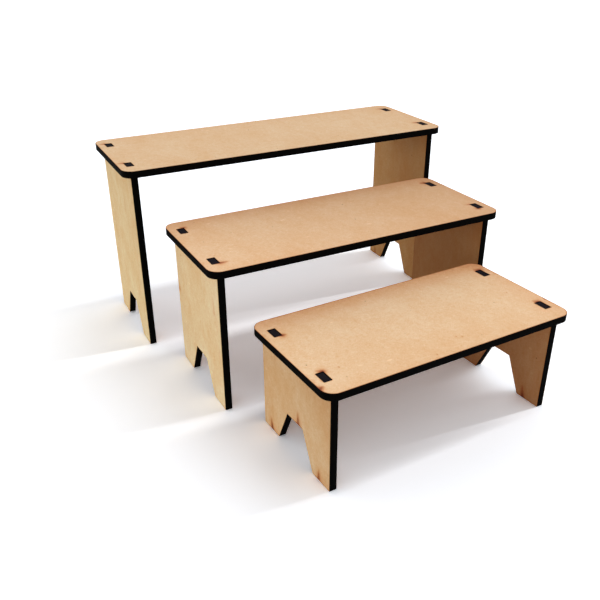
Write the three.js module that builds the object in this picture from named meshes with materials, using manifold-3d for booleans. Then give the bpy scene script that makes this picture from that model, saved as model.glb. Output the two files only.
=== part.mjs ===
// A set of three nesting display risers, laser-cut from one thickness of fibreboard.
// Each riser is a top with rounded corners on two upright legs. Two tenons on each leg push up
// through mortises in the top, and the top rests on the shoulders beside them. A tapered notch
// in the bottom edge leaves every leg with two feet. Each riser is narrower and lower than the
// one behind it, so that it slides in between that riser's legs.
// Millimetres, +Z up, +Y to the back. The origin is on the floor, under the middle of the set.
import * as THREE from 'three';
import { mergeVertices } from 'three/addons/utils/BufferGeometryUtils.js';
import Module from 'manifold-3d';

const wasm = await Module();
wasm.setup();

// The sheet, and the sizes of the boards cut from it
const sheetThickness = 6;
const topDepth = 110;
const topCornerRadius = 10;
const largeLength = 320;
const largeHeight = 169;
const middleHeight = 127;
const smallHeight = 87;

// The legs under a top: in from its ends, and back from its front and rear edges
const legEndInset = 7;
const legEdgeSetback = 7;

// Room at each end between a riser and the legs of the larger riser that it slides into
const nestEndRoom = 12;

// The notch between a leg's two feet
const notchFootWidth = 50;
const notchCrownWidth = 22;
const notchHeight = 30;

// Tenons: how long they are, how far in from the leg's edges, and how far below the top's face
const tenonLength = 11.4;
const tenonShoulder = 8.3;
const tenonRecess = 0.4;

// Clearances: round a tenon in its mortise, and between a leg's shoulders and the top
const mortiseClearance = 0.3;
const seatGap = 0.3;

// Where the risers stand: the gaps between the tops, the shifts to the side, and the turns
const largeToMiddleGap = 18.8;
const middleToSmallGap = 9.7;
const middleSideShift = -1.9;
const smallSideShift = -0.4;
const middleTurnDegrees = 1.06;
const smallTurnDegrees = 3.5;

const cornerSegments = 10;

// Worked out from the sizes above
const nestStep = 2 * (legEndInset + sheetThickness + nestEndRoom);
const middleLength = largeLength - nestStep;
const smallLength = middleLength - nestStep;
const legWidth = topDepth - 2 * legEdgeSetback;
const tenonCentre = legWidth / 2 - tenonShoulder - tenonLength / 2;
const middleCentreY = -(topDepth + largeToMiddleGap);
const smallCentreY = middleCentreY - (topDepth + middleToSmallGap);

const topFinish = { color: '#d3a878', roughness: 0.75, metalness: 0 };
const legFinish = { color: '#d9b985', roughness: 0.75, metalness: 0 };

// The distance from the middle of a top to the middle of either leg's thickness
function legOffset(length) {
  return length / 2 - legEndInset - sheetThickness / 2;
}

// A closed geometry as a solid that can be cut
function toSolid(geometry) {
  geometry.deleteAttribute('normal');
  geometry.deleteAttribute('uv');
  const merged = mergeVertices(geometry);
  return new wasm.Manifold(new wasm.Mesh({
    numProp: 3,
    vertProperties: merged.attributes.position.array,
    triVerts: Uint32Array.from(merged.index.array),
  }));
}

// A cut solid as a geometry again, with flat faces
function toGeometry(solid) {
  const cut = solid.getMesh();
  const indexed = new THREE.BufferGeometry();
  indexed.setAttribute('position', new THREE.BufferAttribute(cut.vertProperties, 3));
  indexed.setIndex(new THREE.BufferAttribute(cut.triVerts, 1));
  const geometry = indexed.toNonIndexed();
  geometry.computeVertexNormals();
  return geometry;
}

// The block that is cut out of a top for one tenon, running past both of the top's faces
function mortiseCutter(centreX, centreY) {
  const width = sheetThickness + 2 * mortiseClearance;
  const length = tenonLength + 2 * mortiseClearance;
  const cutter = new THREE.BoxGeometry(width, length, 3 * sheetThickness);
  cutter.translate(centreX, centreY, sheetThickness / 2);
  return toSolid(cutter);
}

// A rounded board, lying flat, with one mortise for each tenon
function topGeometry(length) {
  const straightX = length / 2 - topCornerRadius;
  const straightY = topDepth / 2 - topCornerRadius;
  const quarter = Math.PI / 2;
  const outline = new THREE.Shape();
  outline.absarc(straightX, -straightY, topCornerRadius, -quarter, 0);
  outline.absarc(straightX, straightY, topCornerRadius, 0, quarter);
  outline.absarc(-straightX, straightY, topCornerRadius, quarter, 2 * quarter);
  outline.absarc(-straightX, -straightY, topCornerRadius, 2 * quarter, 3 * quarter);
  outline.closePath();
  let board = toSolid(new THREE.ExtrudeGeometry(outline, {
    depth: sheetThickness,
    bevelEnabled: false,
    curveSegments: cornerSegments,
  }));
  for (const side of [-1, 1]) {
    for (const edge of [-1, 1]) {
      board = board.subtract(mortiseCutter(side * legOffset(length), edge * tenonCentre));
    }
  }
  return toGeometry(board);
}

// An upright board: the notch and two feet below, the shoulders and two tenons above
function legGeometry(height) {
  const edge = legWidth / 2;
  const shoulder = height - sheetThickness - seatGap;
  const tenonTop = height - tenonRecess;
  const tenonInner = tenonCentre - tenonLength / 2;
  const tenonOuter = tenonCentre + tenonLength / 2;
  const outline = new THREE.Shape();
  outline.moveTo(-edge, 0);
  outline.lineTo(-notchFootWidth / 2, 0);
  outline.lineTo(-notchCrownWidth / 2, notchHeight);
  outline.lineTo(notchCrownWidth / 2, notchHeight);
  outline.lineTo(notchFootWidth / 2, 0);
  outline.lineTo(edge, 0);
  outline.lineTo(edge, shoulder);
  outline.lineTo(tenonOuter, shoulder);
  outline.lineTo(tenonOuter, tenonTop);
  outline.lineTo(tenonInner, tenonTop);
  outline.lineTo(tenonInner, shoulder);
  outline.lineTo(-tenonInner, shoulder);
  outline.lineTo(-tenonInner, tenonTop);
  outline.lineTo(-tenonOuter, tenonTop);
  outline.lineTo(-tenonOuter, shoulder);
  outline.lineTo(-edge, shoulder);
  outline.closePath();
  const board = new THREE.ExtrudeGeometry(outline, { depth: sheetThickness, bevelEnabled: false });
  board.translate(0, 0, -sheetThickness / 2);
  // Stand the board up: its width along Y, its height along Z, its thickness along X
  board.rotateX(Math.PI / 2);
  board.rotateZ(Math.PI / 2);
  return board;
}

function namedBoard(name, geometry, finish) {
  const board = new THREE.Mesh(geometry, new THREE.MeshStandardMaterial(finish));
  board.name = name;
  return board;
}

function makeRiser({ size, length, height, x, y, turnDegrees }) {
  const riser = new THREE.Group();
  riser.name = `${size}_riser`;
  const top = namedBoard(`${size}_top`, topGeometry(length), topFinish);
  top.position.z = height - sheetThickness;
  riser.add(top);
  for (const [hand, side] of [['left', -1], ['right', 1]]) {
    const leg = namedBoard(`${size}_${hand}_leg`, legGeometry(height), legFinish);
    leg.position.x = side * legOffset(length);
    riser.add(leg);
  }
  riser.position.set(x, y, 0);
  riser.rotation.z = THREE.MathUtils.degToRad(turnDegrees);
  return riser;
}

const risers = [
  { size: 'large', length: largeLength, height: largeHeight, x: 0, y: 0, turnDegrees: 0 },
  {
    size: 'middle',
    length: middleLength,
    height: middleHeight,
    x: middleSideShift,
    y: middleCentreY,
    turnDegrees: middleTurnDegrees,
  },
  {
    size: 'small',
    length: smallLength,
    height: smallHeight,
    x: smallSideShift,
    y: smallCentreY,
    turnDegrees: smallTurnDegrees,
  },
];

const set = new THREE.Group();
set.name = 'risers';
for (const riser of risers) {
  set.add(makeRiser(riser));
}

// Bring the middle of the set's floor plan to the origin
const plan = new THREE.Box3().setFromObject(set, true).getCenter(new THREE.Vector3());
set.position.set(-plan.x, -plan.y, 0);

const displayRisers = new THREE.Group();
displayRisers.name = 'display_risers';
displayRisers.add(set);

export default displayRisers;
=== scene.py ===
import math

import bmesh
import bpy
from mathutils import Matrix, Vector
from mathutils.geometry import delaunay_2d_cdt


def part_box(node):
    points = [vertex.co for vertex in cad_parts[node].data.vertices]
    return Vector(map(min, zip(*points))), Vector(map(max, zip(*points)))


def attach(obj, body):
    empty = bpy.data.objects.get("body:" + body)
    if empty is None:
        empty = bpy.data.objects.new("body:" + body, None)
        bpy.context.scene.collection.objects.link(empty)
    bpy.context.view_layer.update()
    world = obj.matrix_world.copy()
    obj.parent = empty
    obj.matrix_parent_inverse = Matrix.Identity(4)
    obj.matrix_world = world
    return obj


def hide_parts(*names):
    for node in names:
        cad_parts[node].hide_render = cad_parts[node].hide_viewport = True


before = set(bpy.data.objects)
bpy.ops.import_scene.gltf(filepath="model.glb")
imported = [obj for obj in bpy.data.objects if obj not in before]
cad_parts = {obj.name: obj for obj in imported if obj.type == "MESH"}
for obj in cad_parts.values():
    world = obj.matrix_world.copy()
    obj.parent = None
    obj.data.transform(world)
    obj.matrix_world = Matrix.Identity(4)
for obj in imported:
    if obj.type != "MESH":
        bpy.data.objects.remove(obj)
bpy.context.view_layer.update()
mm = 0.001


# Undoes the sRGB curve
def hexToLinear(text):
    channels = [int(text[start:start + 2], 16) / 255 for start in (1, 3, 5)]
    return [c / 12.92 if c <= 0.04045 else ((c + 0.055) / 1.055) ** 2.4 for c in channels]


def addNode(tree, kind, settings=None, inputs=None):
    node = tree.nodes.new(kind)
    for name, value in (settings or {}).items():
        setattr(node, name, value)
    for name, value in (inputs or {}).items():
        if isinstance(value, bpy.types.NodeSocket):
            tree.links.new(value, node.inputs[name])
        else:
            node.inputs[name].default_value = value
    return node


# A mix node's settings for colour, and its sockets by number because several share a name
blendColour = {"data_type": "RGBA"}
multiplyColour = {"data_type": "RGBA", "blend_type": "MULTIPLY"}
mixAmount = 0
mixFirst = 6
mixSecond = 7
mixResult = 2

# A noise pattern shows its full depth over this span of its values
noiseSpan = {"From Min": 0.3, "From Max": 0.7}

# Raw fibreboard face, pressed and sanded: a dull tan, cloudy at arm's length, with short pale and
# dark fibres and a few bark specks close up, browned by heat beside every laser cut
fibreboardFace = {
    "ior": 1.48,
    "specular": 0.2,
    "roughness": {"To Min": 0.66, "To Max": 0.84},
    "reliefMm": 0.035,
    "reliefStrength": 0.5,
    "paintedShadeTone": (0.75, 1.0, 1.25),          # how a painted shade shares out over red, green and blue
    "figureTone": (0.45, 1.3, 2.4),          # the same for the figure of the pressed fibre
    "mottleMm": 3.4,
    "mottleDepth": 0.035,
    "mottleNoise": {"Detail": 4.0, "Roughness": 0.62},
    # Width and length in mm, and depth
    "topFigure": [(60, 90, 0.035), (16, 26, 0.03), (4.5, 6.5, 0.03)],
    "legFigure": [(50, 80, 0.05), (20, 36, 0.05), (8, 17, 0.04), (3.5, 7, 0.03)],
    "figureNoise": {"Scale": 1.0, "Detail": 2.0, "Distortion": 0.4},
    "fibreMm": (3.2, 0.75),                  # drawn wider than the real 0.1 mm so that it shows
    "fibreHeadings": (12, 71, 133),
    "fibreNoise": {"Scale": 1.0, "Detail": 1.0, "Distortion": 0.5},
    # Noise values at which a fibre starts and is full, and its tone beside the board's
    "paleFibre": (0.58, 0.80, (1.07, 1.11, 1.20)),
    "darkFibre": (0.42, 0.20, (0.95, 0.89, 0.80)),
    # Size and spacing in mm, squash, and tone beside the board's
    "barkSpeck": (0.75, 13.0, 1.5, (0.42, 0.36, 0.32)),
    "paleFleck": (1.0, 9.0, 0.45, (1.13, 1.19, 1.28)),
    "speckFade": (-0.25, 0.35),              # a speck's soft rim, in its own sizes
    # Stains of heat laid over the board's colour, which near the back edges also carry painted shade: heat
    # at which each starts and is full
    "amber": (0.0, 0.30, "#efd1b8"),
    "scorched": (0.20, 0.60, "#d8b9b0"),
    "burnt": (0.50, 1.0, "#b39095"),
    "heatFlicker": {"To Min": 0.72, "To Max": 1.22},
}


def makeFibreboard(name, figure):
    look = fibreboardFace
    material = bpy.data.materials.new(name)
    material.use_nodes = True
    tree = material.node_tree
    shader = tree.nodes["Principled BSDF"]
    shader.inputs["IOR"].default_value = look["ior"]
    shader.inputs["Specular IOR Level"].default_value = look["specular"]
    where = addNode(tree, "ShaderNodeTexCoord").outputs["Object"]
    sheetPlace = addNode(tree, "ShaderNodeAttribute",
                         {"attribute_type": "OBJECT", "attribute_name": "sheetPlace"})
    spot = addNode(tree, "ShaderNodeVectorMath", {"operation": "ADD"},
                   {0: where, 1: sheetPlace.outputs["Vector"]}).outputs[0]
    tints = [addNode(tree, "ShaderNodeAttribute",
                     {"attribute_type": "OBJECT", "attribute_name": side}).outputs["Color"]
             for side in ("outerTint", "innerShadedTint")]
    # The inner side is painted shade: the same board painted browner for the light it misses inside the
    # riser
    shadedInnerSide = addNode(tree, "ShaderNodeAttribute", {"attribute_name": "shadedInnerSide"}).outputs["Fac"]
    colour = addNode(tree, "ShaderNodeMix", blendColour,
                     {mixAmount: shadedInnerSide, mixFirst: tints[0], mixSecond: tints[1]}).outputs[mixResult]

    # Painted shade: the board is painted paler or browner from one side to the other, for the light and
    # shade that fall across it
    paintedShade = addNode(tree, "ShaderNodeAttribute", {"attribute_name": "paintedShade"}).outputs["Fac"]
    shade = addNode(tree, "ShaderNodeVectorMath", {"operation": "MULTIPLY_ADD"},
                    {0: paintedShade, 1: look["paintedShadeTone"], 2: (1, 1, 1)}).outputs[0]
    colour = addNode(tree, "ShaderNodeMix", multiplyColour,
                     {mixAmount: 1.0, mixFirst: colour, mixSecond: shade}).outputs[mixResult]

    # Figure of the pressed fibre: a fine mottle, then clouds, patches and streaks
    mottle = addNode(tree, "ShaderNodeTexNoise", None,
                     {"Vector": spot, "Scale": 1 / (look["mottleMm"] * mm),
                      **look["mottleNoise"]}).outputs[0]
    patterns = [(mottle, look["mottleDepth"])]
    for widthMm, lengthMm, depth in figure:
        across = 1 / (widthMm * mm)
        along = 1 / (lengthMm * mm)
        stretched = addNode(tree, "ShaderNodeVectorMath", {"operation": "MULTIPLY"},
                            {0: spot, 1: (across, along, across)}).outputs[0]
        pattern = addNode(tree, "ShaderNodeTexNoise", None,
                          {"Vector": stretched, **look["figureNoise"]}).outputs[0]
        patterns.append((pattern, depth))
    for pattern, depth in patterns:
        amount = addNode(tree, "ShaderNodeMapRange", None, {"Value": pattern, **noiseSpan}).outputs[0]
        darker, paler = [[1 + sign * depth * tone for tone in look["figureTone"]] for sign in (-1, 1)]
        shade = addNode(tree, "ShaderNodeMix", blendColour,
                        {mixAmount: amount, mixFirst: (*darker, 1),
                         mixSecond: (*paler, 1)}).outputs[mixResult]
        colour = addNode(tree, "ShaderNodeMix", multiplyColour,
                         {mixAmount: 1.0, mixFirst: colour, mixSecond: shade}).outputs[mixResult]

    # Short fibres lying every way: each heading gives pale ones and dark ones
    relief = mottle
    along, across = [1 / (sizeMm * mm) for sizeMm in look["fibreMm"]]
    for heading in look["fibreHeadings"]:
        turned = addNode(tree, "ShaderNodeVectorRotate", {"rotation_type": "Z_AXIS"},
                         {"Vector": spot, "Angle": math.radians(heading)}).outputs[0]
        stretched = addNode(tree, "ShaderNodeVectorMath", {"operation": "MULTIPLY"},
                            {0: turned, 1: (along, across, across)}).outputs[0]
        fibre = addNode(tree, "ShaderNodeTexNoise", None,
                        {"Vector": stretched, **look["fibreNoise"]}).outputs[0]
        for start, full, tone in (look["paleFibre"], look["darkFibre"]):
            amount = addNode(tree, "ShaderNodeMapRange", None,
                             {"Value": fibre, "From Min": start, "From Max": full}).outputs[0]
            colour = addNode(tree, "ShaderNodeMix", multiplyColour,
                             {mixAmount: amount, mixFirst: colour,
                              mixSecond: (*tone, 1)}).outputs[mixResult]
        relief = addNode(tree, "ShaderNodeMath", {"operation": "ADD"}, {0: relief, 1: fibre}).outputs[0]

    # Bark specks and pale flecks, a few on each board, no two the same size
    for sizeMm, apartMm, squash, tone in (look["barkSpeck"], look["paleFleck"]):
        share = sizeMm / apartMm
        stretched = addNode(tree, "ShaderNodeVectorMath", {"operation": "MULTIPLY"},
                            {0: spot, 1: (squash, 1, 1)}).outputs[0]
        cells = addNode(tree, "ShaderNodeTexVoronoi", None,
                        {"Vector": stretched, "Scale": 1 / (apartMm * mm)})
        chance = addNode(tree, "ShaderNodeSeparateColor", None, {0: cells.outputs["Color"]}).outputs[0]
        reach = addNode(tree, "ShaderNodeMath", {"operation": "MULTIPLY"},
                        {0: chance, 1: share}).outputs[0]
        nearness = addNode(tree, "ShaderNodeMath", {"operation": "SUBTRACT"},
                           {0: reach, 1: cells.outputs["Distance"]}).outputs[0]
        start, full = [fade * share for fade in look["speckFade"]]
        amount = addNode(tree, "ShaderNodeMapRange", None,
                         {"Value": nearness, "From Min": start, "From Max": full}).outputs[0]
        colour = addNode(tree, "ShaderNodeMix", multiplyColour,
                         {mixAmount: amount, mixFirst: colour, mixSecond: (*tone, 1)}).outputs[mixResult]

    # Heat beside the cuts: amber where it is faint, then red-brown, and dark brown where it is strong.
    # In from the back edges of the middle and small tops, part of this browning is painted shade under the
    # riser behind.
    scorchAndPaintedShade = addNode(tree, "ShaderNodeAttribute", {"attribute_name": "scorchAndPaintedShade"}).outputs["Fac"]
    flicker = addNode(tree, "ShaderNodeMapRange", None,
                      {"Value": mottle, **noiseSpan, **look["heatFlicker"]}).outputs[0]
    heat = addNode(tree, "ShaderNodeMath", {"operation": "MULTIPLY"}, {0: scorchAndPaintedShade, 1: flicker}).outputs[0]
    for start, full, stain in (look["amber"], look["scorched"], look["burnt"]):
        amount = addNode(tree, "ShaderNodeMapRange", None,
                         {"Value": heat, "From Min": start, "From Max": full}).outputs[0]
        colour = addNode(tree, "ShaderNodeMix", multiplyColour,
                         {mixAmount: amount, mixFirst: colour,
                          mixSecond: (*hexToLinear(stain), 1)}).outputs[mixResult]

    rough = addNode(tree, "ShaderNodeMapRange", None,
                    {"Value": mottle, **noiseSpan, **look["roughness"]}).outputs[0]
    bump = addNode(tree, "ShaderNodeBump", None,
                   {"Strength": look["reliefStrength"], "Distance": look["reliefMm"] * mm,
                    "Height": relief}).outputs[0]
    for socket, source in (("Base Color", colour), ("Roughness", rough), ("Normal", bump)):
        tree.links.new(source, shader.inputs[socket])
    return material


# Fibreboard edge burnt through by the laser: matt soot-black, with fine upright ripples left by the beam
charredEdge = {
    "specular": 0.02,
    "roughness": {"To Min": 0.78, "To Max": 0.95},
    "reliefMm": 0.05,
    "reliefStrength": 0.6,
    "rippleMm": 0.45,            # drawn wider than the real 0.15 mm so that it shows
    "rippleRunMm": 14.0,
    "rippleNoise": {"Scale": 1.0, "Detail": 2.0},
    "sootMm": 6.0,
    "sootNoise": {"Detail": 3.0},
    "dustSpan": {"From Min": 0.15, "From Max": 0.42},
    "deep": "#040404",
    "dusty": "#0b0a09",
    "paintedSheen": "#1e1b20",            # painted sheen on the upturned ends of the tenons, lighter than the rest of the char
}


def makeCharredEdge(name):
    look = charredEdge
    material = bpy.data.materials.new(name)
    material.use_nodes = True
    tree = material.node_tree
    shader = tree.nodes["Principled BSDF"]
    shader.inputs["Specular IOR Level"].default_value = look["specular"]
    deep, dusty, paintedSheenColour = [(*hexToLinear(look[shade]), 1) for shade in ("deep", "dusty", "paintedSheen")]
    where = addNode(tree, "ShaderNodeTexCoord").outputs["Object"]
    across = 1 / (look["rippleMm"] * mm)
    along = 1 / (look["rippleRunMm"] * mm)
    upright = addNode(tree, "ShaderNodeVectorMath", {"operation": "MULTIPLY"},
                      {0: where, 1: (across, across, along)}).outputs[0]
    ripple = addNode(tree, "ShaderNodeTexNoise", None,
                     {"Vector": upright, **look["rippleNoise"]}).outputs[0]
    soot = addNode(tree, "ShaderNodeTexNoise", None,
                   {"Vector": where, "Scale": 1 / (look["sootMm"] * mm), **look["sootNoise"]}).outputs[0]
    depth = addNode(tree, "ShaderNodeMath", {"operation": "MULTIPLY"}, {0: ripple, 1: soot}).outputs[0]
    dust = addNode(tree, "ShaderNodeMapRange", None, {"Value": depth, **look["dustSpan"]}).outputs[0]
    colour = addNode(tree, "ShaderNodeMix", blendColour,
                     {mixAmount: dust, mixFirst: deep, mixSecond: dusty}).outputs[mixResult]
    # Painted sheen: the upturned tenon ends are painted a lighter grey than the rest of the char
    paintedSheen = addNode(tree, "ShaderNodeAttribute", {"attribute_name": "paintedSheen"}).outputs["Fac"]
    colour = addNode(tree, "ShaderNodeMix", blendColour,
                     {mixAmount: paintedSheen, mixFirst: colour, mixSecond: paintedSheenColour}).outputs[mixResult]
    rough = addNode(tree, "ShaderNodeMapRange", None,
                    {"Value": soot, **noiseSpan, **look["roughness"]}).outputs[0]
    bump = addNode(tree, "ShaderNodeBump", None,
                   {"Strength": look["reliefStrength"], "Distance": look["reliefMm"] * mm,
                    "Height": ripple}).outputs[0]
    for socket, source in (("Base Color", colour), ("Roughness", rough), ("Normal", bump)):
        tree.links.new(source, shader.inputs[socket])
    return material


topFace = makeFibreboard("sandedFibreboardTop", fibreboardFace["topFigure"])
legFace = makeFibreboard("sandedFibreboardLeg", fibreboardFace["legFigure"])
cutEdge = makeCharredEdge("laserCharredFibreboardEdge")
print("materials made")

# How every board was cut: the sheet is laser-cut, so edges are crisp, charred and square
cutting = {
    "topCornerMm": 10.0,       # corner radius of a top
    "topCornerSteps": 24,
    "cutCornerMm": 0.35,       # the beam leaves every other corner this round
    "cutCornerSteps": 3,
    "arrisMm": 0.16,           # broken edge between a face and a cut edge
    "sharpDegrees": 30,        # faces that meet at more than this are shaded apart
    "longestStepMm": 7.0,      # straight runs are divided no longer than this
    "mitreLimit": 0.2,         # keeps a sharp corner from running off when a loop is moved
    "faceGridMm": 13.0,        # spacing of the points inside a face
    "gridClear": 1.3,          # they keep this many times the last rim row from every cut
    "rimRowsMm": (0.3, 0.6, 1.0, 1.6, 2.6, 4.4, 7.5, 12.0),   # rows of points that carry the browning
    "rimClear": 0.93,          # a row's points keep this share of its depth from every cut
    "burnClear": 1.6,          # a burn's points keep this many arrises from every cut
    "mergeMm": 0.001,          # points nearer than this become one
    "rimFadeMm": 0.35,         # the browning beside a cut falls to a third over this
    "holeRim": 0.4,            # browning round a mortise
    "legRim": 0.45,            # browning along a leg's edges
    "smokeAndShadeFadeMm": 16.0,       # the faint smoke stain, and the painted shade, in from a side falls to a third over this
}


def roundedLoop(corners, radius, steps):
    loop = []
    for index, corner in enumerate(corners):
        before = (corners[index - 1] - corner).normalized()
        after = (corners[(index + 1) % len(corners)] - corner).normalized()
        half = before.angle(after) / 2
        centre = corner + (before + after).normalized() * radius / math.sin(half)
        start = corner + before * radius / math.tan(half) - centre
        end = corner + after * radius / math.tan(half) - centre
        turn = math.atan2(start.x * end.y - start.y * end.x, start.dot(end))
        for step in range(steps + 1):
            angle = turn * step / steps
            loop.append(centre + Matrix.Rotation(angle, 2) @ start)
    return loop


def dividedLoop(loop, longest):
    divided = []
    for index, point in enumerate(loop):
        ahead = loop[(index + 1) % len(loop)]
        parts = max(1, math.ceil((ahead - point).length / longest))
        divided += [point.lerp(ahead, part / parts) for part in range(parts)]
    return divided


# Moves a loop sideways, to its left as it runs, which is always into the board
def insetLoop(loop, inset):
    moved = []
    for index, point in enumerate(loop):
        arriving = (point - loop[index - 1]).normalized()
        leaving = (loop[(index + 1) % len(loop)] - point).normalized()
        left = Vector((-arriving.y, arriving.x)) + Vector((-leaving.y, leaving.x))
        moved.append(point + left * inset / max(cutting["mitreLimit"], 1 + arriving.dot(leaving)))
    return moved


def distanceToLoops(point, loops):
    nearest = math.inf
    for loop in loops:
        for index, start in enumerate(loop):
            run = loop[(index + 1) % len(loop)] - start
            share = max(0.0, min(1.0, (point - start).dot(run) / run.length_squared))
            nearest = min(nearest, (point - start - run * share).length)
    return nearest


def insideLoop(point, loop):
    inside = False
    for index, start in enumerate(loop):
        end = loop[(index + 1) % len(loop)]
        if (start.y > point.y) != (end.y > point.y):
            if point.x < start.x + (end.x - start.x) * (point.y - start.y) / (end.y - start.y):
                inside = not inside
    return inside


# The first loop is the board's outline and the others are holes
def insideBoard(point, loops):
    return insideLoop(point, loops[0]) and not any(insideLoop(point, hole) for hole in loops[1:])


# A burn is a tapering stain: a dark core where the beam came on, in a wider amber halo, thinning
# out along its heading
burning = {
    "core": (0.62, 1.0),                # share of the heat, and spread in widths of the burn
    "halo": (0.38, 2.6),
    "taper": 0.4,                       # its far end is narrower by this share
    "backFade": 0.8,                    # behind its start it falls to a third over this many widths
    "rowsBehind": (-2.6, -1.4, -0.7),   # rows of points that carry it: behind its start, in widths,
    "rowsAhead": 12,                    # and ahead, this many at tenths of its length
    "columns": (-3.6, -2.4, -1.5, -0.9, -0.4, 0, 0.4, 0.9, 1.5, 2.4, 3.6),   # across it, in widths
}


def makeBurn(x, y, headingDegrees, lengthMm, widthMm, strength):
    angle = math.radians(headingDegrees)
    return {"origin": Vector((x, y)), "heading": Vector((math.cos(angle), math.sin(angle))),
            "length": lengthMm * mm, "width": widthMm * mm, "strength": strength}


def burnAt(point, burn):
    along = (point - burn["origin"]).dot(burn["heading"])
    across = (point - burn["origin"]).cross(burn["heading"])
    ahead = along / burn["length"]
    taper = 1 - burning["taper"] * max(0.0, min(1.0, ahead))
    heat = 0
    for share, spread in (burning["core"], burning["halo"]):
        width = burn["width"] * spread * taper
        if along < 0:
            fade = math.exp(-(along / (burning["backFade"] * width)) ** 2)
        else:
            fade = max(0.0, 1 - ahead)
        heat += share * fade * math.exp(-(across / width) ** 2)
    return burn["strength"] * heat


def burnPoints(burn):
    side = Vector((-burn["heading"].y, burn["heading"].x))
    rows = [burn["width"] * row for row in burning["rowsBehind"]]
    rows += [burn["length"] * row / 10 for row in range(burning["rowsAhead"])]
    return [burn["origin"] + burn["heading"] * along + side * burn["width"] * column
            for along in rows for column in burning["columns"]]


# The charred edge along every loop, with a broken arris beside both faces
def cutEdges(board, layers, plan):
    arris = cutting["arrisMm"] * mm
    half = plan["thickness"] / 2
    soft = arris * (1 - math.sqrt(0.5))      # halfway round the arris
    profile = [(arris, half), (soft, half - soft), (0, half - arris), (0, arris - half),
               (soft, soft - half), (arris, -half)]
    rings = {"over": [], "under": []}
    for loop in plan["loops"]:
        rows = [[board.verts.new((*point, height)) for point in insetLoop(loop, inset)]
                for inset, height in profile]
        for upper, lower in zip(rows, rows[1:]):
            for index in range(len(loop)):
                ahead = (index + 1) % len(loop)
                edge = board.faces.new((upper[index], lower[index], lower[ahead], upper[ahead]))
                edge.material_index = 1
        # Corners at the tenon's end are marked for the painted sheen
        for row in rows:
            for corner in row:
                corner[layers["paintedSheen"]] = 1.0 if corner.co.y > plan["paintedSheenFrom"] else 0.0
        rings["over"].append(rows[0])
        rings["under"].append(rows[-1])
    return rings


# Points inside a face: rows beside every cut, and a grid over the rest
def facePoints(plan):
    loops = plan["loops"]
    low, high = plan["box"]
    rimRows = [row * mm for row in cutting["rimRowsMm"]]
    points = [point for row in rimRows for loop in loops for point in insetLoop(loop, row)
              if distanceToLoops(point, loops) > cutting["rimClear"] * row]
    spread = high - low
    columns, rows = [max(1, round(length / (cutting["faceGridMm"] * mm))) for length in spread]
    clear = cutting["gridClear"] * rimRows[-1]
    for column in range(columns):
        for row in range(rows):
            point = Vector((low.x + spread.x * (column + 0.5) / columns,
                            low.y + spread.y * (row + 0.5) / rows))
            if insideBoard(point, loops) and distanceToLoops(point, loops) > clear:
                points.append(point)
    return points


# How far heat has browned a point: burns, the rims of the cuts and smoke in from the sides, with painted
# shade in from the back edges of the middle and small tops
def heatAndPaintedShadeAt(point, plan, burns):
    loops = plan["loops"]
    low, high = plan["box"]
    heat = sum(burnAt(point, burn) for burn in burns)
    for rims, strength in ((loops[:1], plan["rim"]), (loops[1:], cutting["holeRim"])):
        heat += strength * math.exp(-distanceToLoops(point, rims) / (cutting["rimFadeMm"] * mm))
    # Smoke in from a side; along the back edges of the middle and small tops it is also painted shade under
    # the riser behind
    for axis, end, strength in plan["smokeAndPaintedShade"]:
        away = high[axis] - point[axis] if end > 0 else point[axis] - low[axis]
        heat += strength * math.exp(-(away / (cutting["smokeAndShadeFadeMm"] * mm)) ** 2)
    return min(1.0, heat)


# Painted shade across a board, paler or darker towards one side
def paintedShadeAt(point, plan, paintedShade):
    low, high = plan["box"]
    return sum(amount * (2 * (point[axis] - low[axis]) / (high[axis] - low[axis]) - 1)
               for axis, amount in enumerate(paintedShade))


# Fills one face inside its rings with triangles, and marks heat with its painted shade, the painted-shade
# inner side and the painted shade across the board on their corners
def fillFace(board, layers, plan, side, rings, inside):
    loops = plan["loops"]
    burns = plan["burns"][side]
    sign = 1 if side == "over" else -1
    boundary = [vert for ring in rings for vert in ring]
    edges = []
    for ring in rings:
        first = len(edges)
        edges += [(first + index, first + (index + 1) % len(ring)) for index in range(len(ring))]
    clear = cutting["burnClear"] * cutting["arrisMm"] * mm
    marks = [point for burn in burns for point in burnPoints(burn)
             if insideBoard(point, loops) and distanceToLoops(point, loops) > clear]
    flat = [vert.co.to_2d() for vert in boundary] + inside + marks
    withHoles = 2      # the fill's own number for leaving holes open
    points, _, triangles, origins, _, _ = delaunay_2d_cdt(flat, edges, [], withHoles,
                                                          cutting["mergeMm"] * mm)
    verts = []
    for point, origin in zip(points, origins):
        known = [index for index in origin if index < len(boundary)]
        vert = boundary[known[0]] if known else board.verts.new((*point, sign * plan["thickness"] / 2))
        vert[layers["scorchAndPaintedShade"]] = heatAndPaintedShadeAt(point, plan, burns)
        vert[layers["shadedInnerSide"]] = 1.0 if side == plan["shadedInnerSide"] else 0.0
        vert[layers["paintedShade"]] = paintedShadeAt(point, plan, plan["paintedShades"][side])
        verts.append(vert)
    for triangle in triangles:
        corners = [verts[index] for index in triangle]
        middle = sum((corner.co.to_2d() for corner in corners), Vector((0, 0))) / 3
        if insideBoard(middle, loops):
            area = (corners[1].co - corners[0].co).cross(corners[2].co - corners[0].co).z
            board.faces.new(corners if area * sign > 0 else corners[::-1])


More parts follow.
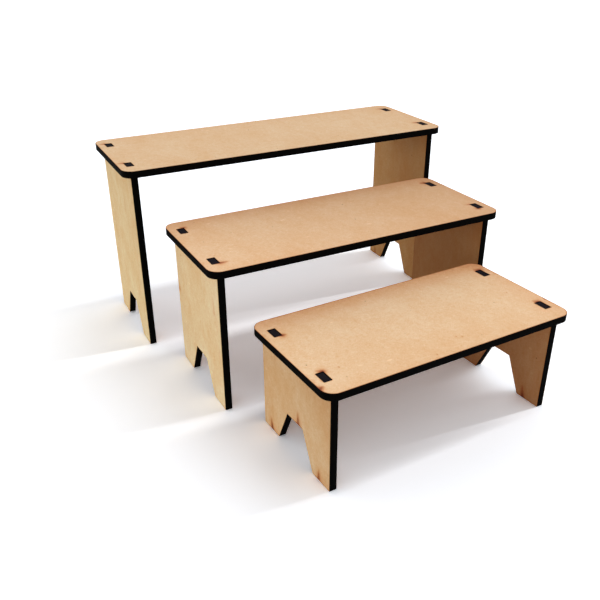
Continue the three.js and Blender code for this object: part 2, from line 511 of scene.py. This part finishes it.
# Cuts one board from its plan, lying flat with its faces over and under
def cutBoard(name, plan):
    outline = plan["loops"][0]
    plan["box"] = [Vector((pick(point.x for point in outline), pick(point.y for point in outline)))
                   for pick in (min, max)]
    board = bmesh.new()
    layers = {}
    for layer in ("scorchAndPaintedShade", "paintedSheen", "shadedInnerSide", "paintedShade"):
        layers[layer] = board.verts.layers.float.new(layer)
    rings = cutEdges(board, layers, plan)
    inside = facePoints(plan)
    for side in ("over", "under"):
        fillFace(board, layers, plan, side, rings[side], inside)
    board.normal_update()
    for face in board.faces:
        face.smooth = True
    for edge in board.edges:
        edge.smooth = edge.calc_face_angle(0) < math.radians(cutting["sharpDegrees"])
    mesh = bpy.data.meshes.new(name)
    board.to_mesh(mesh)
    board.free()
    piece = bpy.data.objects.new(name, mesh)
    bpy.context.scene.collection.objects.link(piece)
    return piece


# The legs' own shape, the same on all three risers
legCut = {
    "notchFootMm": 50.0,
    "notchCrownMm": 22.0,
    "notchHeightMm": 30.0,
    "tenonMm": 11.4,
    "tenonShoulderMm": 8.3,    # from the leg's edge to its tenon
    "tenonRecessMm": 0.4,      # the tenon's end lies this far under the top's face
    "tenonSheenMm": 0.3,         # its end carries the painted sheen down to here
    "mortiseRoomMm": 0.22,     # gap round a tenon
    "seatGapMm": 0.04,         # gap under a top, too thin to see
}

# One entry for each riser. Each board has a paler side turned out and a browner side turned in, whose brown
# is painted shade: the same fibreboard painted darker for the light it misses inside the riser.
# A painted shade is how much a side is painted paler to the right and to the back, or on a leg to the back
# and up, for the light and shade that fall across it; below zero it is painted darker.
# Each board has its own place on the sheet, so no two have the same figure.
# Smoke and painted shade is the side it comes in from, as axis and end, and its strength: a faint smoke
# stain, and along the back edges of the middle and small tops also painted shade under the riser behind. A
# burn is where the beam
# came on: a mortise's corner, or a spot in mm, then heading in degrees, length and width in mm, and
# strength.
risers = {
    "large": {
        "top": {
            "tint": "#dab68d",
            "inner": "#a8774d",
            "paintedShade": (-0.03, 0),
            "sheetPlace": (0.11, 0.42, 0.0),
            "rim": 0.8,
            "smokeAndPaintedShade": [(1, 1, 0.06), (0, 1, 0.06)],
            "mortiseBurns": [
                ("left", "back", (-1, 1), 176, 6.0, 1.4, 0.80),
                ("left", "front", (-1, 1), 172, 7.0, 1.4, 0.66),
                ("right", "back", (-1, 1), 174, 6.0, 1.4, 0.60),
                ("right", "front", (-1, 1), 172, 7.0, 1.4, 0.66),
            ],
            "spots": [],
        },
        "left": {
            "tint": "#eccc96",
            "inner": "#a8774d",
            "paintedShade": (0, -0.16),
            "innerPaintedShade": (0, 0),
            "sheetPlace": (1.32, 0.77, 0.0),
            "burns": [("outer", -13.5, 122.0, 90, 19.2, 1.8, 0.14)],
        },
        "right": {
            "tint": "#eccc96",
            "inner": "#b2834e",
            "paintedShade": (0, 0),
            "innerPaintedShade": (0.1, -0.02),
            "sheetPlace": (2.45, 0.13, 0.0),
            "burns": [("inner", 37.0, 0.0, 84, 13.2, 1.1, 0.75)],
        },
    },
    "middle": {
        "top": {
            "tint": "#dfb58b",
            "inner": "#a8774d",
            "paintedShade": (-0.15, -0.04),
            "sheetPlace": (3.08, 1.55, 0.0),
            "rim": 0.85,
            "smokeAndPaintedShade": [(1, 1, 0.15), (0, 1, 0.07), (1, -1, 0.03)],
            "mortiseBurns": [
                ("left", "back", (1, 1), 135, 4.5, 1.5, 0.90),
                ("left", "front", (1, -1), 3, 8.5, 1.5, 0.90),
                ("right", "back", (-1, 1), 165, 6.0, 1.6, 0.90),
                ("right", "front", (-1, 1), 172, 7.0, 1.5, 0.38),
                ("right", "front", (-1, -1), 300, 4.0, 1.5, 0.88),
            ],
            "spots": [],
        },
        "left": {
            "tint": "#f6d6a3",
            "inner": "#a8774d",
            "paintedShade": (0, -0.08),
            "innerPaintedShade": (0, 0),
            "sheetPlace": (0.64, 2.21, 0.0),
            "burns": [
                ("outer", 45.5, 70.0, 92, 8.4, 2.0, 0.40),
                ("outer", -36.5, 84.0, 88, 19.2, 1.6, 0.24),
            ],
        },
        "right": {
            "tint": "#f6d6a3",
            "inner": "#a57343",
            "paintedShade": (0, 0),
            "innerPaintedShade": (0, 0),
            "sheetPlace": (1.87, 3.02, 0.0),
            "burns": [],
        },
    },
    "small": {
        "top": {
            "tint": "#efc89d",
            "inner": "#a8774d",
            "paintedShade": (0, 0.03),
            "sheetPlace": (2.71, 2.63, 0.0),
            "rim": 0.9,
            "smokeAndPaintedShade": [(1, 1, 0.23), (0, 1, 0.13), (1, -1, 0.03)],
            "mortiseBurns": [
                ("left", "back", (1, -1), 0, 4.2, 1.6, 1.0),
                ("left", "front", (0.85, 1), 138, 6.0, 1.6, 0.95),
                ("right", "back", (0.4, 1), 135, 5.5, 1.6, 1.0),
                ("right", "front", (0.2, 1), 125, 5.0, 1.5, 0.9),
            ],
            "spots": [
                (-110.0, -44.5, 14, 5.5, 1.6, 1.3),
                (-84.7, -28.8, 0, 0.9, 0.5, 0.5),
                (10.2, -37.4, 0, 0.8, 0.5, 0.55),
                (13.8, -39.6, 0, 0.7, 0.5, 0.5),
                (-17.4, -49.7, 0, 0.8, 0.5, 0.45),
                (91.5, -3.7, 0, 0.8, 0.5, 0.45),
            ],
        },
        "left": {
            "tint": "#e4b986",
            "inner": "#a8774d",
            "paintedShade": (0.1, -0.17),
            "innerPaintedShade": (0, 0),
            "sheetPlace": (3.53, 0.58, 0.0),
            "burns": [
                ("outer", 35.2, 0.0, 78, 13.0, 1.5, 1.2),
                ("outer", -4.8, 30.0, 88, 14.0, 1.4, 1.1),
                ("outer", -33.6, 0.0, 92, 12.0, 1.4, 1.1),
            ],
        },
        "right": {
            "tint": "#e4b986",
            "inner": "#b88254",
            "paintedShade": (0, 0),
            "innerPaintedShade": (-0.19, 0.2),
            "sheetPlace": (0.29, 3.41, 0.0),
            "burns": [("inner", -31.8, 0.0, 80, 13.0, 1.4, 1.0)],
        },
    },
}


# Where a riser stands and how large it is, measured on the frame's own boards
def measureRiser(size):
    legBoxes = [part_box(f"{size}_{hand}_leg") for hand in ("left", "right")]
    middles = [(low + high) / 2 for low, high in legBoxes]
    span = middles[1] - middles[0]
    centre = (middles[0] + middles[1]) / 2
    turn = math.atan2(span.y, span.x)
    stand = Matrix.Translation((centre.x, centre.y, 0)) @ Matrix.Rotation(turn, 4, "Z")
    spread = {}
    for board in ("top", "left_leg"):
        corners = [stand.inverted() @ vert.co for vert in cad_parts[f"{size}_{board}"].data.vertices]
        spread[board] = [max(c[axis] for c in corners) - min(c[axis] for c in corners) for axis in range(3)]
    return {
        "stand": stand,
        "length": spread["top"][0],
        "depth": spread["top"][1],
        "thickness": spread["top"][2],
        "height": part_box(f"{size}_top")[1].z,
        "legWidth": spread["left_leg"][1],
        "legOffset": span.length / 2,
    }


def finishBoard(piece, node, body, face, look, matrix):
    for material in (face, cutEdge):
        piece.data.materials.append(material)
    piece["sheetPlace"] = look["sheetPlace"]
    piece["outerTint"] = hexToLinear(look["tint"])
    piece["innerShadedTint"] = hexToLinear(look["inner"])
    piece.matrix_world = matrix
    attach(piece, body)
    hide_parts(node)
    print(node, "cut,", len(piece.data.polygons), "faces")


def rectangle(centreX, centreY, width, height):
    return [Vector((centreX + sideX * width / 2, centreY + sideY * height / 2))
            for sideX, sideY in ((-1, -1), (1, -1), (1, 1), (-1, 1))]


def makeTop(size, riser):
    look = risers[size]["top"]
    thickness = riser["thickness"]
    longest = cutting["longestStepMm"] * mm
    cutCorner = cutting["cutCornerMm"] * mm
    tenonY = riser["legWidth"] / 2 - (legCut["tenonShoulderMm"] + legCut["tenonMm"] / 2) * mm
    holeWidth = thickness + 2 * legCut["mortiseRoomMm"] * mm
    holeLength = (legCut["tenonMm"] + 2 * legCut["mortiseRoomMm"]) * mm
    outline = roundedLoop(rectangle(0, 0, riser["length"], riser["depth"]),
                          cutting["topCornerMm"] * mm, cutting["topCornerSteps"])
    loops = [dividedLoop(outline, longest)]
    sides = {"left": -1, "right": 1, "front": -1, "back": 1}
    for hand in ("left", "right"):
        for end in ("front", "back"):
            hole = rectangle(sides[hand] * riser["legOffset"], sides[end] * tenonY, holeWidth, holeLength)
            hole = roundedLoop(hole, cutCorner, cutting["cutCornerSteps"])
            loops.append(dividedLoop(hole, longest)[::-1])
    burns = {"over": [], "under": []}
    for hand, end, (cornerX, cornerY), *flare in look["mortiseBurns"]:
        burns["over"].append(makeBurn(sides[hand] * riser["legOffset"] + cornerX * holeWidth / 2,
                                      sides[end] * tenonY + cornerY * holeLength / 2, *flare))
    for x, y, *flare in look["spots"]:
        burns["over"].append(makeBurn(x * mm, y * mm, *flare))
    piece = cutBoard(f"{size}TopBoard", {
        "loops": loops,
        "thickness": thickness,
        "shadedInnerSide": "under",
        "rim": look["rim"],
        "smokeAndPaintedShade": look["smokeAndPaintedShade"],
        "burns": burns,
        "paintedShades": {"over": look["paintedShade"], "under": (0, 0)},
        "paintedSheenFrom": math.inf,       # nowhere
    })
    lift = Matrix.Translation((0, 0, riser["height"] - thickness / 2))
    finishBoard(piece, f"{size}_top", f"{size}_top", topFace, look, riser["stand"] @ lift)


def makeLeg(size, riser, hand):
    look = risers[size][hand]
    thickness = riser["thickness"]
    edge = riser["legWidth"] / 2
    shoulder = riser["height"] - thickness - legCut["seatGapMm"] * mm
    tenonEnd = riser["height"] - legCut["tenonRecessMm"] * mm
    tenonOuter = edge - legCut["tenonShoulderMm"] * mm
    tenonInner = tenonOuter - legCut["tenonMm"] * mm
    foot = legCut["notchFootMm"] * mm / 2
    crown = legCut["notchCrownMm"] * mm / 2
    rise = legCut["notchHeightMm"] * mm
    half = [(crown, rise), (foot, 0), (edge, 0), (edge, shoulder), (tenonOuter, shoulder),
            (tenonOuter, tenonEnd), (tenonInner, tenonEnd), (tenonInner, shoulder)]
    corners = [Vector(point) for point in half] + [Vector((-x, y)) for x, y in reversed(half)]
    loop = roundedLoop(corners, cutting["cutCornerMm"] * mm, cutting["cutCornerSteps"])
    # Stood up, a leg's over side faces right
    faces = {"inner": "over", "outer": "under"} if hand == "left" else {"inner": "under", "outer": "over"}
    burns = {"over": [], "under": []}
    for face, x, y, *flare in look["burns"]:
        burns[faces[face]].append(makeBurn(x * mm, y * mm, *flare))
    piece = cutBoard(f"{size}{hand.title()}LegBoard", {
        "loops": [dividedLoop(loop, cutting["longestStepMm"] * mm)],
        "thickness": thickness,
        "shadedInnerSide": faces["inner"],
        "rim": cutting["legRim"],
        "smokeAndPaintedShade": [],
        "burns": burns,
        "paintedShades": {faces["outer"]: look["paintedShade"], faces["inner"]: look["innerPaintedShade"]},
        "paintedSheenFrom": tenonEnd - legCut["tenonSheenMm"] * mm,
    })
    side = -1 if hand == "left" else 1
    # Stands the leg up: its x runs from front to back and its y runs up
    upright = Matrix(((0, 0, 1, side * riser["legOffset"]), (1, 0, 0, 0), (0, 1, 0, 0), (0, 0, 0, 1)))
    finishBoard(piece, f"{size}_{hand}_leg", f"{size}_legs", legFace, look,
                riser["stand"] @ upright)


for size in risers:
    riser = measureRiser(size)
    makeTop(size, riser)
    for hand in ("left", "right"):
        makeLeg(size, riser, hand)


# 1 for what the camera sees, straight or in a gloss, and 0 for light on its way to the boards
def seenRays(tree):
    rays = addNode(tree, "ShaderNodeLightPath")
    seen = rays.outputs["Is Camera Ray"]
    for kind in ("Is Glossy Ray", "Is Transmission Ray"):
        seen = addNode(tree, "ShaderNodeMath", {"operation": "MAXIMUM"},
                       {0: seen, 1: rays.outputs[kind]}).outputs[0]
    return seen


# White paper sweep: a matt floor that keeps the soft shadows and runs out to white
floorLook = {
    "reachM": 6.0,
    "paper": "#bab9b9",                # what the paper gives back to the boards
    "seenWhite": (1.32, 1.36, 1.42),   # how bright it looks to the camera in full light, where 1 is white
}


def makeFloor():
    material = bpy.data.materials.new("whitePaperSweep")
    material.use_nodes = True
    tree = material.node_tree
    tree.nodes.remove(tree.nodes["Principled BSDF"])
    colour = addNode(tree, "ShaderNodeMix", blendColour,
                     {mixAmount: seenRays(tree), mixFirst: (*hexToLinear(floorLook["paper"]), 1),
                      mixSecond: (*floorLook["seenWhite"], 1)}).outputs[mixResult]
    paper = addNode(tree, "ShaderNodeBsdfDiffuse", None, {"Color": colour}).outputs[0]
    tree.links.new(paper, tree.nodes["Material Output"].inputs["Surface"])
    reach = floorLook["reachM"]
    mesh = bpy.data.meshes.new("paperFloor")
    mesh.from_pydata([(-reach, -reach, 0), (reach, -reach, 0), (reach, reach, 0), (-reach, reach, 0)],
                     [], [(0, 1, 2, 3)])
    mesh.materials.append(material)
    floor = bpy.data.objects.new("paperFloor", mesh)
    bpy.context.scene.collection.objects.link(floor)


# A white room, brighter low down on the left and behind and higher up in front and behind, and a
# tall narrow strip far off on the right, which throws the shadows to the left with crisp sides
lighting = {
    "walls": [("X", 1, 0.7), ("X", -1, 1.75), ("Y", 1, 1.75)],      # axis, side, level
    "ceiling": [("X", 1, 0.85), ("Y", 1, 1.2), ("Y", -1, 1.22)],
    "wallTop": (0.30, 0.50),        # sines of the heights between which wall turns to ceiling
    "stripAzimuth": -5,             # from +X
    "stripElevation": 46,
    "stripDistance": 8.0,
    "stripSize": (0.2, 11.0),
    "stripShare": 0.46,             # of the light that renders white as white
}


def makeLights():
    world = bpy.data.worlds.new("whiteRoom")
    world.use_nodes = True
    bpy.context.scene.world = world
    tree = world.node_tree
    towards = addNode(tree, "ShaderNodeTexCoord").outputs["Generated"]
    axes = addNode(tree, "ShaderNodeSeparateXYZ", None, {0: towards})
    levels = {}
    for part in ("walls", "ceiling"):
        level = 0.0
        for axis, side, strength in lighting[part]:
            share = addNode(tree, "ShaderNodeMapRange", None,
                            {"Value": axes.outputs[axis], "From Min": 0.0, "From Max": side,
                             "To Max": strength}).outputs[0]
            level = addNode(tree, "ShaderNodeMath", {"operation": "ADD"}, {0: share, 1: level}).outputs[0]
        levels[part] = level
    low, high = lighting["wallTop"]
    level = addNode(tree, "ShaderNodeMapRange", {"interpolation_type": "SMOOTHSTEP"},
                    {"Value": axes.outputs["Z"], "From Min": low, "From Max": high,
                     "To Min": levels["walls"], "To Max": levels["ceiling"]}).outputs[0]
    level = addNode(tree, "ShaderNodeMapRange", None,
                    {"Value": seenRays(tree), "To Min": level, "To Max": 1.0}).outputs[0]
    background = tree.nodes["Background"]
    background.inputs["Color"].default_value = (1, 1, 1, 1)
    tree.links.new(level, background.inputs["Strength"])
    strip = bpy.data.lights.new("stripLight", "AREA")
    strip.shape = "RECTANGLE"
    strip.size, strip.size_y = lighting["stripSize"]
    whitePower = (math.pi * lighting["stripDistance"]) ** 2     # watts at which white renders as white
    strip.energy = lighting["stripShare"] * whitePower
    light = bpy.data.objects.new("stripLight", strip)
    aim = (Matrix.Rotation(math.radians(lighting["stripAzimuth"] + 90), 4, "Z")
           @ Matrix.Rotation(math.radians(90 - lighting["stripElevation"]), 4, "X"))
    light.matrix_world = aim @ Matrix.Translation((0, 0, lighting["stripDistance"]))
    bpy.context.scene.collection.objects.link(light)


# The photograph's own view
cameraView = {
    "place": (-0.2930, -0.5186, 0.3532),
    "azimuth": -26.38,
    "elevation": 28.83,
    "roll": -0.39,
    "lensMm": 44.17,
    "sensorMm": 36.0,
    "shift": (0.0012, 0.0347),
    "clip": (0.01, 50.0),
}


def makeCamera():
    view = cameraView
    lens = bpy.data.cameras.new("photoView")
    lens.sensor_width = view["sensorMm"]
    lens.lens = view["lensMm"]
    lens.shift_x, lens.shift_y = view["shift"]
    lens.clip_start, lens.clip_end = view["clip"]
    camera = bpy.data.objects.new("photoView", lens)
    turn = (Matrix.Rotation(math.radians(view["azimuth"]), 4, "Z")
            @ Matrix.Rotation(math.radians(90 - view["elevation"]), 4, "X")
            @ Matrix.Rotation(math.radians(view["roll"]), 4, "Z"))
    camera.matrix_world = Matrix.Translation(view["place"]) @ turn
    bpy.context.scene.collection.objects.link(camera)
    bpy.context.scene.camera = camera


makeFloor()
makeLights()
makeCamera()
bpy.context.scene.view_settings.view_transform = "Standard"
print("floor, lights and camera placed")
